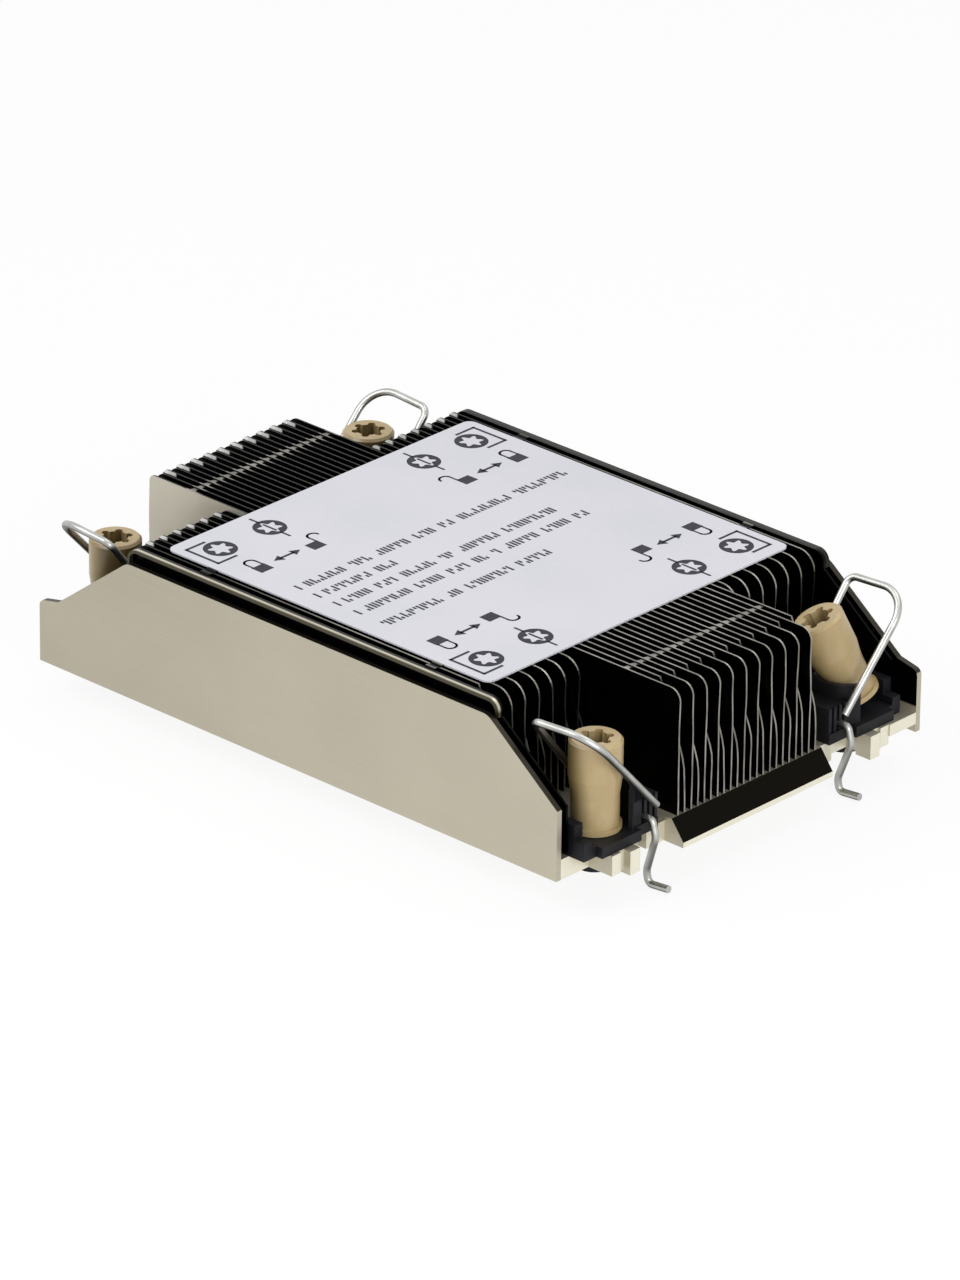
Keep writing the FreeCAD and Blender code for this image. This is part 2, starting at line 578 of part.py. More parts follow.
# ---------------------------------------------------------------- retainers
def make_retainer(label, signs):
    def block(name, x, y, z):
        return box(f"{label}_{name}", signs, x, y, z)

    def round_post(name, radius, bottom, top):
        return post(f"{label}_{name}", signs, radius, bottom, top)

    plate = block("plate", ("plate_start", "plate_end"), ("plate_in", "plate_out"), ("ear_top", "plate_top"))
    apron = block("apron", ("plate_end", "plate_end + apron_out"), ("nut_y - apron_in", "nut_y + apron_past"),
                  ("ear_top", "plate_top"))
    carrier = block("carrier", ("block_start", "block_end"), ("plate_in", "block_out"), ("ear_top", "block_top"))
    upright = block("upright", ("post_start", "post_end"), ("post_in", "plate_out"), ("ear_top", "post_top"))
    corner = block("corner", ("post_start", "plate_end"), ("post_in", "plate_out"), ("ear_top", "corner_top"))
    bush = round_post("bush", "bush_radius", "-bush_drop", "plate_top")
    ring = round_post("ring", "collar_out", "plate_top", "collar_top")
    guard = block("guard", ("plate_start", "nut_x + collar_out"),
                  ("nut_y - collar_out", "nut_y - collar_side"), ("plate_top", "collar_top"))
    collar = combine("Part::MultiCommon", f"{label}_collar", [ring, guard])
    ribs = []
    for count in range(3):
        low = f"plate_in + {2 * count + 1} * rib_wide"
        ribs.append(block(f"rib_{count + 1}", ("block_end - rib_deep", "block_end"),
                          (low, f"{low} + rib_wide"), ("plate_top", "block_top")))

    solid = combine("Part::MultiFuse", f"{label}_solid", [plate, apron, carrier, upright, corner, bush, collar])
    bore = round_post("bore", "bush_bore", "-bush_drop", "plate_top")
    well = round_post("well", "collar_in", "plate_top", "collar_top")
    bearing = doc.addObject("Part::Cylinder", f"{label}_bearing")
    bearing.setExpression("Radius", formula("bearing_radius"))
    bearing.setExpression("Height", formula("block_end - block_start"))
    start = "block_start" if signs[0] > 0 else "-block_end"
    for axis, text in zip("xyz", (start, flipped("pivot_y", signs[1]), "pivot_z")):
        bearing.setExpression(f"Placement.Base.{axis}", formula(text))
    bearing.Placement.Rotation = FreeCAD.Rotation(FreeCAD.Vector(0, 1, 0), 90)
    cuts = combine("Part::MultiFuse", f"{label}_cuts", [bore, well, bearing, *ribs])
    retainer = combine("Part::Cut", label, [solid, cuts])
    retainer.Label = label
    finished.append(retainer)


# ---------------------------------------------------------------- wire bails
def rounded_path(corners, radii):
    # Straight runs joined by tangent arcs.
    edges = []
    start = corners[0]
    for before, corner, after, radius in zip(corners, corners[1:], corners[2:], radii):
        into = (corner - before).normalize()
        out = (after - corner).normalize()
        half_turn = into.getAngle(out) / 2
        reach = radius * math.tan(half_turn)
        first = corner - into * reach
        last = corner + out * reach
        middle = corner + (out - into).normalize() * (radius / math.cos(half_turn) - radius)
        edges.append(Part.LineSegment(start, first).toShape())
        edges.append(Part.Arc(first, middle, last).toShape())
        start = last
    edges.append(Part.LineSegment(start, corners[-1]).toShape())
    return Part.Wire(edges)


def make_bail(label, signs):
    # From the toe of the hook, up through the retainer's bearing, and round the bail.
    bend = [
        (size("hook_toe_x"), size("toe_y"), size("hook_toe_z"), None),
        (size("hook_heel_x"), size("toe_y"), size("hook_heel_z"), 1.0),
        (size("hook_waist_x"), size("toe_y"), size("hook_waist_z"), 3.0),
        (size("hook_bulge_x"), size("pivot_y"), size("hook_bulge_z"), 2.4),
        (size("bail_far"), size("pivot_y"), size("pivot_z"), 0.8),
        (size("bail_near"), size("pivot_y"), size("pivot_z"), 1.2),
        (size("bail_near"), size("bail_top_y"), size("bail_top_z"), 1.6),
        (size("bail_far"), size("bail_top_y"), size("bail_top_z") + size("bail_slope"), 5.0),
        (size("bail_far"), size("leg_end_y"), size("leg_end_z"), None),
    ]
    corners = [FreeCAD.Vector(x * signs[0], y * signs[1], z) for x, y, z, radius in bend]
    path = rounded_path(corners, [radius for x, y, z, radius in bend[1:-1]])
    ends = Part.Circle(corners[0], corners[1] - corners[0], size("wire_radius"))
    section = Part.Wire(ends.toShape())
    wire = path.makePipeShell([section], True, True)
    exact = math.pi * size("wire_radius") ** 2 * path.Length
    print(f"{label}: length {path.Length:.1f} mm, volume {wire.Volume:.2f} of {exact:.2f} mm3")
    bail = doc.addObject("Part::Feature", label)
    bail.Label = label
    bail.Shape = wire
    finished.append(bail)


# ---------------------------------------------------------------- the whole heatsink
make_base()
make_wall("side_wall_front", -1)
make_wall("side_wall_rear", 1)

tongue_each_side = int(size("tongue_half") / size("fin_pitch") + 0.5)
tongue_count = 2 * tongue_each_side
for number in range(tongue_count):
    make_tongue_fin(number, f"{number - tongue_each_side + 0.5} * fin_pitch", number == tongue_count - 1)
edge_index = int((size("edge_outer") - size("edge_thick")) / size("fin_pitch") - 0.5)
for row, number in enumerate(range(tongue_each_side, edge_index)):
    make_pack_fins(number, row)
make_edge_fin("edge_fin_front", -1, edge_index)
make_edge_fin("edge_fin_rear", 1, edge_index)
make_label()

CORNERS = {"front_right": (1, -1), "rear_right": (1, 1), "front_left": (-1, -1), "rear_left": (-1, 1)}
for corner, signs in CORNERS.items():
    make_nut(f"nut_{corner}", signs, corner == "rear_right")
    make_retainer(f"retainer_{corner}", signs)
    make_bail(f"bail_{corner}", signs)

# ---------------------------------------------------------------- checks and files
doc.recompute()
for item in doc.Objects:
    if "Invalid" in item.State or "Error" in item.State:
        raise RuntimeError(f"{item.Label} failed: {item.State}")
for item in finished:
    if item.Shape.isNull() or not item.Shape.isValid():
        raise RuntimeError(f"{item.Label} has no valid shape")
    item.Shape.exportStep(f"parts/{item.Label}.step")
print(f"{len(finished)} pieces written")
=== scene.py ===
import math

import bmesh
import bpy
from mathutils import Matrix, Vector


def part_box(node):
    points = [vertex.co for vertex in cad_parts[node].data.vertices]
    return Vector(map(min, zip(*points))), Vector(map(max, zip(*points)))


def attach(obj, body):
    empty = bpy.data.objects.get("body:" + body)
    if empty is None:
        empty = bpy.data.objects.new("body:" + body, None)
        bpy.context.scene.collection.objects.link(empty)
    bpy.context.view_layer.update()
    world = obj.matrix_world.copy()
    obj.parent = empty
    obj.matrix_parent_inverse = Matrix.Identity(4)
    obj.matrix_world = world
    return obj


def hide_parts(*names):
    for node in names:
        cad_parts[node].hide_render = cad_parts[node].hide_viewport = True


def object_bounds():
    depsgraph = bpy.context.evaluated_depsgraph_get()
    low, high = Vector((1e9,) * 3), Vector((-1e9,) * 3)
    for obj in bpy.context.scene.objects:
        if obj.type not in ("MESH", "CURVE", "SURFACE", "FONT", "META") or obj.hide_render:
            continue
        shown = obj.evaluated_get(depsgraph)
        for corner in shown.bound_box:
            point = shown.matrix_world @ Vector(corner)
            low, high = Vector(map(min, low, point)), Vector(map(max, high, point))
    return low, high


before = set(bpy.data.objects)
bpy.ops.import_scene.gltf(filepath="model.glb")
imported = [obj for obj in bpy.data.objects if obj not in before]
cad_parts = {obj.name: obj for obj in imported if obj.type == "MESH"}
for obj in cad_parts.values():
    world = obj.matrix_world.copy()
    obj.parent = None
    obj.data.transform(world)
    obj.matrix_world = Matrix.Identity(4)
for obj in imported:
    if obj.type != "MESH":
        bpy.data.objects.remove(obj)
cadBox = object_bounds()
mm = 0.001
print("frame loaded:", len(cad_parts), "nodes")

corners = {"front_right": (1, -1), "rear_right": (1, 1), "front_left": (-1, -1), "rear_left": (-1, 1)}


# shader maths
class Value:
    # wraps a socket, so that + - * abs and a few shapes of curve add nodes
    def __init__(self, nodes, socket):
        self.nodes = nodes
        self.socket = socket

    def calc(self, operation, *others):
        values = dict(enumerate((self, *others)))
        return self.nodes.node("ShaderNodeMath", {"operation": operation}, values)[0]

    def __add__(self, other):
        return self.calc("ADD", other)

    __radd__ = __add__

    def __mul__(self, other):
        return self.calc("MULTIPLY", other)

    __rmul__ = __mul__

    def __sub__(self, other):
        return self.calc("SUBTRACT", other)

    def __rsub__(self, other):
        return self.nodes.node("ShaderNodeMath", {"operation": "SUBTRACT"}, {0: other, 1: self})[0]

    def __abs__(self):
        return self.calc("ABSOLUTE")

    def ramp(self, low, high):
        # eases from 0 to 1 while the value goes from low to high
        settings = {"interpolation_type": "SMOOTHSTEP"}
        return self.nodes.node("ShaderNodeMapRange", settings,
                               {"Value": self, "From Min": low, "From Max": high})["Result"]

    def past(self, place, soft=0.1):
        # goes from 0 to 1 at a place, over a soft edge, both in millimetres
        return self.ramp(place * mm, (place + soft) * mm)

    def within(self, low, high, soft=0.1):
        return self.past(low, soft) * (1 - self.past(high, soft))


class Outputs:
    # a node's outputs, by name or number
    def __init__(self, nodes, node):
        self.nodes = nodes
        self.sockets = node.outputs

    def __getitem__(self, key):
        return Value(self.nodes, self.sockets[key])


class Nodes:
    # a node tree, and the one way to add a node to it
    def __init__(self, tree):
        self.tree = tree

    def node(self, kind, settings=None, values=None):
        node = self.tree.nodes.new(kind)
        for name, value in (settings or {}).items():
            setattr(node, name, value)
        for name, value in (values or {}).items():
            self.feed(node.inputs[name], value)
        return Outputs(self, node)

    def feed(self, socket, value):
        if isinstance(value, Value):
            self.tree.links.new(value.socket, socket)
        elif socket.type == "RGBA":
            socket.default_value = (*value, 1)
        else:
            socket.default_value = value


class Finish(Nodes):
    # one material, with its Principled shader and short ways to add nodes
    def __init__(self, name, **fixed):
        self.material = bpy.data.materials.new(name)
        self.material.use_nodes = True
        super().__init__(self.material.node_tree)
        self.shader = self.tree.nodes["Principled BSDF"]
        self.surface(**fixed)
        self.place = self.node("ShaderNodeTexCoord")["Object"]
        parts = self.node("ShaderNodeSeparateXYZ", {}, {0: self.place})
        self.x, self.y, self.z = parts[0], parts[1], parts[2]
        facing = self.node("ShaderNodeSeparateXYZ", {}, {0: self.node("ShaderNodeNewGeometry")["Normal"]})
        self.facingX, self.facingY, self.facingZ = facing[0], facing[1], facing[2]

    def blend(self, factor, first, second):
        # a colour between two others
        return self.node("ShaderNodeMix", {"data_type": "RGBA"}, {0: factor, 6: first, 7: second})[2]

    def noise(self, scale, detail, stretch=(1, 1, 1)):
        # scale is in features per millimetre
        spread = self.node("ShaderNodeVectorMath", {"operation": "MULTIPLY"},
                           {0: self.place, 1: tuple(scale * s / mm for s in stretch)})[0]
        return self.node("ShaderNodeTexNoise", {}, {"Vector": spread, "Scale": 1.0, "Detail": detail})[0]

    def surface(self, **sockets):
        # a socket's name is written with _ for each space
        for socket, value in sockets.items():
            self.feed(self.shader.inputs[socket.replace("_", " ")], value)

    def bump(self, height, strength, distance):
        shaped = self.node("ShaderNodeBump", {}, {"Height": height, "Strength": strength,
                                                  "Distance": distance * mm})[0]
        self.surface(Normal=shaped)


# finishes, with places in millimetres
plating = {
    "color": (0.515, 0.475, 0.372),
    "shade": (0.420, 0.382, 0.298),
    "glint": (0.60, 0.56, 0.46),
    # end is a painted light colour
    "end": (0.80, 0.77, 0.63),
    # dark is painted shade and painted reflection
    "dark": (0.006, 0.005, 0.003),
    "metallic": 0.6,
    "roughness": 0.40,
    "cloudShare": 0.35,
    "glintShare": 0.10,
    "half": 50.0,
    "baseTop": 4.2,
}


def platedFinish(name, dark, paintedEndLight=False):
    # satin nickel over the base and the walls, with a soft cloudiness, fine rolling lines and some painted
    # light and shade
    finish = Finish(name)
    clouds = finish.noise(0.035, 3.0)
    rolling = finish.noise(1.0, 2.0, (0.05, 0.05, 4.0))
    # painted light: a little brighter towards the end where the shelf is missing, as the lamps light it more
    along = (finish.facingY * finish.x * -1.0).past(-plating["half"], 2 * plating["half"])
    shade = clouds.ramp(0.3, 0.7) * plating["cloudShare"] + (1 - along) * (1 - plating["cloudShare"])
    color = finish.blend(shade, plating["color"], plating["shade"])
    color = finish.blend(rolling.ramp(0.35, 0.65) * plating["glintShare"], color, plating["glint"])
    if paintedEndLight:
        # painted light: faces that look along the length are painted lighter, where the side lamp falls on
        # them
        color = finish.blend(abs(finish.facingX).ramp(0.75, 0.95), color, plating["end"])
    # painted shade and reflection: the mask tells where near-black colour is painted in
    mask = dark(finish)
    color = finish.blend(mask, color, plating["dark"])
    finish.surface(Base_Color=color, Metallic=mask * (1 - plating["metallic"]) + plating["metallic"],
                   Roughness=clouds * 0.16 + (plating["roughness"] - 0.08))
    finish.bump(rolling, 0.06, 0.02)
    return finish.material


def lipShade(finish):
    # painted reflection: the lip's slope is polished, and the dark under the fins that it reflects is painted
    # in as near-black colour
    slope = finish.facingZ.ramp(0.2, 0.35) * (1 - finish.facingZ.ramp(0.8, 0.92))
    return slope * abs(finish.facingX).ramp(0.5, 0.7)


def paintedWallShade(finish):
    # painted shade: the upper edges of the walls and their inner faces are painted dark, for the dark they
    # reflect
    upper = finish.facingZ.ramp(0.35, 0.55) * 0.93
    outward = finish.facingY * finish.y.calc("SIGN")
    inner = (1 - outward.ramp(-0.8, -0.5)) * finish.z.past(plating["baseTop"], 0.4)
    return upper.calc("MAXIMUM", inner)


# places are measured along the fins, across them and up
finLook = {
    "edge": ((0.36, 0.34, 0.31), (0.20, 0.19, 0.165)),
    # gap is painted shade on the fin faces, and tip a painted highlight on their corners
    "gap": ((0.0025, 0.0025, 0.0025), (0.006, 0.0055, 0.005)),
    "outer": (0.55, 0.512, 0.418),
    "tip": (0.90, 0.89, 0.86),
    "dullTop": (0.005, 0.0045, 0.0035),
    "bentTab": (0.004, 0.004, 0.004),
    "outerFin": (15.2, 16.2),
    "tipFrom": 53.2,
    "tipRise": 24.50,
    "besideShorter": 15.9,
    "pairPitch": 3.0,
    "tabRow": (44.8, 48.2),
    "tabGlow": 0.9,
    "fadeFrom": -30.0,
    "fadeOver": 45.0,
    "bentPlace": 24.0,
    "bentHalf": 1.05,
    "bentFrom": 16.5,
    "bentTip": 25.33,
    "roughness": 0.26,
}


def finFinish():
    finish = Finish("finMetal")
    look = finLook
    along, across = abs(finish.x), abs(finish.y)
    faces = abs(finish.facingY).ramp(0.4, 0.7)
    tops = finish.facingZ.ramp(0.3, 0.6)
    # painted shade and highlight: fin faces are painted near-black for the dark between the fins, but faces
    # that look away from the
    # middle are pale: the whole of the tongue's outer one, and, as a painted highlight, of every other fin
    # the upper corner that stands clear of its neighbour
    away = (finish.facingY * finish.x).past(32, 4)
    outer = across.within(*look["outerFin"]) * (finish.facingY * finish.y).past(10, 2)
    beside = across.past(look["outerFin"][1])
    reach = along + beside * (look["besideShorter"] * mm)
    corner = reach.past(look["tipFrom"], 0.5) * finish.z.past(look["tipRise"], 0.15)
    phase = (finish.y * (1 / (look["pairPitch"] * mm)) + 0.25).calc("FRACT")
    plain = abs(phase - 0.5).ramp(0.22, 0.28)
    pale = (away * outer).calc("MAXIMUM", corner * plain * away)
    mottled = finish.noise(0.25, 3.0)
    edge = finish.blend(mottled.ramp(0.3, 0.7), *look["edge"])
    face = finish.blend(mottled, *look["gap"])
    face = finish.blend(pale, face, finish.blend(outer, look["tip"], look["outer"]))
    color = finish.blend(faces, edge, face)
    # painted light and shade: fin tops are painted near-black towards one end and keep their lit colour
    # towards the other; the row of tabs keeps some painted light where the other tops are painted dark
    start, end = look["tabRow"]
    tabs = along.past(start, 1.6) * (1 - along.past(end, 0.4))
    litShare = finish.x.past(look["fadeFrom"], look["fadeOver"]).calc("MAXIMUM", tabs * look["tabGlow"])
    color = finish.blend(tops * (1 - litShare), color, look["dullTop"])
    # painted shade: tabs beside the label are painted as dark as the gaps, but for their tips
    bent = 1 - abs(along - look["bentPlace"] * mm).past(look["bentHalf"])
    bent = bent * across.past(look["bentFrom"]) * (1 - finish.z.past(look["bentTip"], 0.09))
    color = finish.blend(bent, color, look["bentTab"])
    finish.surface(Base_Color=color, Metallic=1 - faces * pale * (0.9 - outer * 0.25),
                   Roughness=mottled * 0.12 + look["roughness"])
    finish.bump(mottled, 0.05, 0.02)
    return finish.material


edgeFinLook = {
    "sheet": (0.004, 0.004, 0.004),
    "fold": (0.085, 0.075, 0.050),
    "crown": ((0.66, 0.62, 0.50), (0.42, 0.39, 0.30)),
    "foldFrom": 36.95,
    "foldRise": 21.5,
    "crownSpan": (37.05, 37.55),
    "roughness": 0.28,
}


def edgeFinFinish():
    # painted shade and highlight: the sheet is painted near-black and the sides of its fold dark, a painted
    # bright line runs along the crown of the fold, and towards the rear both are painted dark, as they face
    # away from the light there
    finish = Finish("edgeFinMetal", Metallic=1.0)
    look = edgeFinLook
    across = abs(finish.y)
    fold = across.past(look["foldFrom"]) * finish.z.past(look["foldRise"], 0.5)
    crown = across.within(*look["crownSpan"], 0.2) * fold
    rear = finish.y.past(-10, 20)
    mottled = finish.noise(0.3, 3.0)
    color = finish.blend(fold * (1 - rear * 0.9), look["sheet"], look["fold"])
    color = finish.blend(crown * (1 - rear * 0.97), color, finish.blend(mottled, *look["crown"]))
    finish.surface(Base_Color=color, Roughness=mottled * 0.1 + look["roughness"])
    finish.bump(mottled, 0.05, 0.02)
    return finish.material


labelLook = {
    "film": ((0.655, 0.642, 0.695), (0.615, 0.622, 0.662)),
    "speck": (0.73, 0.72, 0.77),
    "ink": ((0.008, 0.008, 0.014), (0.024, 0.024, 0.038)),
    "rowInk": ((0.010, 0.010, 0.016), (0.045, 0.045, 0.060)),
    "roughness": 0.5,
}


def labelFinish():
    finish = Finish("labelFilm", Metallic=0.0, Specular_IOR_Level=0.35)
    grain = finish.noise(1.2, 3.0)
    clouds = finish.noise(0.05, 2.0)
    color = finish.blend(clouds.ramp(0.3, 0.7), *labelLook["film"])
    color = finish.blend(grain.ramp(0.55, 0.75) * 0.25, color, labelLook["speck"])
    finish.surface(Base_Color=color, Roughness=grain * 0.1 + labelLook["roughness"])
    finish.bump(grain, 0.05, 0.02)
    return finish.material


def inkFinish(name, colors, scale):
    finish = Finish(name, Metallic=0.0, Specular_IOR_Level=0.3)
    grain = finish.noise(scale, 2.0)
    color = finish.blend(grain.ramp(0.35, 0.8), *colors)
    finish.surface(Base_Color=color, Roughness=grain * 0.1 + labelLook["roughness"])
    return finish.material


nutLook = {
    "resin": ((0.475, 0.365, 0.190), (0.385, 0.285, 0.135)),
    "speck": (0.30, 0.21, 0.09),
    "aged": (0.085, 0.056, 0.014),
    "agedShare": 0.85,
    "roughness": 0.24,
    "scatter": 1.5,
}


def nutFinish():
    finish = Finish("nutResin", Metallic=0.0, Specular_IOR_Level=0.5, Subsurface_Weight=0.08,
                    Subsurface_Scale=nutLook["scatter"] * mm)
    flow = finish.noise(0.18, 3.0, (1, 1, 0.4))
    speck = finish.noise(1.6, 2.0)
    color = finish.blend(flow.ramp(0.3, 0.7), *nutLook["resin"])
    color = finish.blend(speck.ramp(0.6, 0.8) * 0.3, color, nutLook["speck"])
    # painted shade: the side that faces the fins is painted darker, but not where it faces up
    inward = 1 - (finish.facingX * finish.x.calc("SIGN")).ramp(-0.55, 0.60)
    upward = finish.facingZ.ramp(0.6, 0.9)
    color = finish.blend(inward * (1 - upward) * nutLook["agedShare"], color, nutLook["aged"])
    finish.surface(Base_Color=color, Roughness=flow * 0.12 + nutLook["roughness"])
    finish.bump(flow, 0.08, 0.1)
    return finish.material


retainerLook = {"plastic": ((0.005, 0.005, 0.006), (0.011, 0.011, 0.015)), "roughness": 0.40}


def retainerFinish():
    finish = Finish("retainerPlastic", Metallic=0.0, Specular_IOR_Level=0.2)
    grain = finish.noise(3.0, 2.0)
    clouds = finish.noise(0.2, 2.0)
    color = finish.blend(clouds.ramp(0.3, 0.7), *retainerLook["plastic"])
    finish.surface(Base_Color=color, Roughness=grain * 0.15 + retainerLook["roughness"])
    finish.bump(grain, 0.1, 0.03)
    return finish.material


wireLook = {
    "steel": ((0.52, 0.52, 0.50), (0.38, 0.38, 0.36)),
    "under": (0.045, 0.045, 0.040),
    "roughness": 0.30,
}


def wireFinish():
    finish = Finish("bailWire", Metallic=1.0)
    drawn = finish.noise(0.25, 2.0)
    color = finish.blend(drawn.ramp(0.3, 0.7), *wireLook["steel"])
    # painted shade: the wire is painted dark below
    under = 1 - finish.facingZ.ramp(-0.55, 0.05)
    color = finish.blend(under, color, wireLook["under"])
    finish.surface(Base_Color=color, Roughness=drawn * 0.10 + wireLook["roughness"])
    finish.bump(drawn, 0.03, 0.02)
    return finish.material


finishes = {
    "base": platedFinish("basePlating", lipShade, True),
    "wall": platedFinish("wallPlating", paintedWallShade),
    "fin": finFinish(),
    "edgeFin": edgeFinFinish(),
    "label": labelFinish(),
    "ink": inkFinish("labelInk", labelLook["ink"], 2.5),
    "rowInk": inkFinish("rowInk", labelLook["rowInk"], 1.5),
    "nut": nutFinish(),
    "retainer": retainerFinish(),
    "wire": wireFinish(),
}
print("finishes made:", len(finishes))


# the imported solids: width of the rounding on sharp edges, in millimetres, and its segments
rounding = {
    "base": (0.15, 2), "wall": (0.12, 2), "edgeFin": (0.2, 3), "nut": (0.12, 2), "retainer": (0.12, 2),
}
sharpAngle = math.radians(40)


def dress(node, material):
    # gives a node its finish, and rounds its sharp edges
    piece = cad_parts[node]
    piece.data.materials.clear()
    piece.data.materials.append(finishes[material])
    if material in rounding:
        width, segments = rounding[material]
        bevel = piece.modifiers.new("rounding", "BEVEL")
        bevel.width = width * mm
        bevel.segments = segments
        bevel.limit_method = "ANGLE"
        bevel.angle_limit = sharpAngle
        bevel.harden_normals = True


dress("base_plate", "base")
for side in ("front", "rear"):
    dress(f"side_wall_{side}", "wall")
    dress(f"edge_fin_{side}", "edgeFin")
for corner in corners:
    dress(f"nut_{corner}", "nut")
    dress(f"retainer_{corner}", "retainer")
    dress(f"bail_{corner}", "wire")
print("solids dressed")


# new pieces
def addPiece(name, mesh, material, body, slot, *replaced):
    piece = bpy.data.objects.new(name, mesh)
    bpy.context.scene.collection.objects.link(piece)
    piece.data.materials.append(finishes[material])
    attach(piece, body)
    if replaced:
        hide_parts(*replaced)


def meshFrom(name, build):
    # runs build on an empty bmesh and returns the mesh, with its normals outward
    shape = bmesh.new()
    build(shape)
    bmesh.ops.recalc_face_normals(shape, faces=shape.faces)
    mesh = bpy.data.meshes.new(name)
    shape.to_mesh(mesh)
    shape.free()
    return mesh


def addPrism(shape, outline, ends, place):
    # place turns a point of the outline and an end into a point in millimetres
    rings = [[shape.verts.new(tuple(v * mm for v in place(a, b, end))) for a, b in outline] for end in ends]
    for ring in rings:
        shape.faces.new(ring)
    for index in range(len(outline)):
        after = (index + 1) % len(outline)
        shape.faces.new((rings[0][index], rings[0][after], rings[1][after], rings[1][index]))


def spanOf(node):
    # low and high corners of a node, in millimetres
    low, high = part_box(node)
    return low / mm, high / mm


# each sway is its share, then how it turns with the fin's number, with height and along the length
fin = {
    "thick": 0.3, "pitch": 1.5, "low": 4.2, "top": 25.2, "cutRise": 12.0, "cutBack": 5.5, "cutSoft": 1.5,
    "wave": 0.22, "waveReach": 16.0, "sway": ((0.625, 2.1, 0.31, 0.0), (0.375, 5.3, 0.55, 1.0)),
    "columns": 30, "rows": 12, "rowRise": 1.5, "cornerSteps": 7,
    "round": 2.0, "nick": 1.2, "sideRound": 3.0, "sideNumber": 40,
}


def finEnd(end, radius, height):
    # how far the sheet reaches at this height: a radius of none stands for the cut-back end
    if radius is None:
        above = height - fin["cutRise"]
        lean = (above + math.sqrt(above ** 2 + fin["cutSoft"])) / 2 / (fin["top"] - fin["cutRise"])
        return end - fin["cutBack"] * min(1.0, lean)
    drop = height - (fin["top"] - radius)
    return end - radius + math.sqrt(max(0.0, radius ** 2 - drop ** 2)) if drop > 0 else end


def finWave(number, x, z, end):
    # thin sheet is never quite flat: it bows a little near its free ends
    near = max(0.0, 1 - (end - abs(x)) / fin["waveReach"])
    rise = math.sin(math.pi * (z - fin["low"]) / (fin["top"] - fin["low"]))
    sway = sum(share * math.sin(turn * number + up * z + out * x) for share, turn, up, out in fin["sway"])
    return fin["wave"] * near ** 2 * rise * sway


def addFinSheet(shape, number, y, low, high, radii):
    # radii are those of the corners at the low and the high end
    corner = max(radius or 0 for radius in radii)
    steps = fin["cornerSteps"]
    heights = [fin["low"] + fin["rowRise"] * row for row in range(fin["rows"])]
    heights += [fin["top"] - corner * (1 - math.sin(math.pi / 2 * step / steps)) for step in range(steps + 1)]
    sides = []
    for offset in (-fin["thick"] / 2, fin["thick"] / 2):
        rows = []
        for z in heights:
            left = -finEnd(-low, radii[0], z)
            right = finEnd(high, radii[1], z)
            row = []
            for column in range(fin["columns"] + 1):
                # columns crowd towards both ends, where the sheet bows
                share = 0.5 - 0.5 * math.cos(math.pi * column / fin["columns"])
                x = left + (right - left) * share
                row.append(shape.verts.new((x * mm, (y + offset + finWave(number, x, z, high)) * mm, z * mm)))
            rows.append(row)
        sides.append(rows)
    front, back = sides
    for row in range(len(heights) - 1):
        for column in range(fin["columns"]):
            for rows in sides:
                shape.faces.new((rows[row][column], rows[row][column + 1],
                                 rows[row + 1][column + 1], rows[row + 1][column]))
        for column in (0, -1):
            shape.faces.new((front[row][column], back[row][column],
                             back[row + 1][column], front[row + 1][column]))
    for row in (0, -1):
        for column in range(fin["columns"]):
            shape.faces.new((front[row][column], front[row][column + 1],
                             back[row][column + 1], back[row][column]))


# a locking tab's outline is in shares of half its length and of the gap between two fins
tab = {
    "places": (-47.4, 45.0), "half": 0.7, "thick": 0.16,
    "outline": ((-1, 0), (1, 0), (0.45, 0.75), (0.7, 0.97), (-0.7, 0.97), (-0.45, 0.75)),
}


def addTab(shape, x, y):
    # a locking tab that is folded over from one fin and hooks behind the next
    gap = fin["pitch"] - fin["thick"]
    start = y + fin["thick"] / 2
    addPrism(shape, tab["outline"], (-2 * tab["thick"], -tab["thick"]),
             lambda a, b, lift: (x + tab["half"] * a, start + gap * b, fin["top"] + lift))


# a bent tab's profile: shares of its reach outward, and millimetres above the fins
bentTab = {
    "places": (-24.0, 24.0), "half": 1.0, "clear": 0.05,
    "profile": ((0, -0.25), (1, -0.25), (1, 0.10), (0.6, 0.22), (0.3, 0.10), (0, 0.0)),
}


def addBentTab(shape, x, y, side):
    # a short tab folded outward, with its tip pressed up a little
    reach = fin["pitch"] - fin["thick"] - bentTab["clear"]
    start = y + side * fin["thick"] / 2
    addPrism(shape, bentTab["profile"], (-bentTab["half"], bentTab["half"]),
             lambda a, b, end: (x + end, start + side * reach * a, fin["top"] + b))


tongueNodes = sorted(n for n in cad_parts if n.startswith("tongue_fin_"))
sideNodes = sorted(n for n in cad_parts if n.startswith("side_fin_pair_"))
tongueCount = len(tongueNodes)
for number, node in enumerate(tongueNodes):
    low, high = spanOf(node)
    y = low.y + fin["thick"] / 2
    radii = (fin["nick"], fin["round"]) if number % 2 == 0 else (fin["round"], None)

    def build(shape):
        addFinSheet(shape, number, y, low.x, high.x, radii)
        if number < tongueCount - 1:
            for place in tab["places"]:
                addTab(shape, place, y)

    mesh = meshFrom(node, build)
    addPiece(f"tongueFin{number + 1:02d}", mesh, "fin", "heatsink", "fin_metal", node)

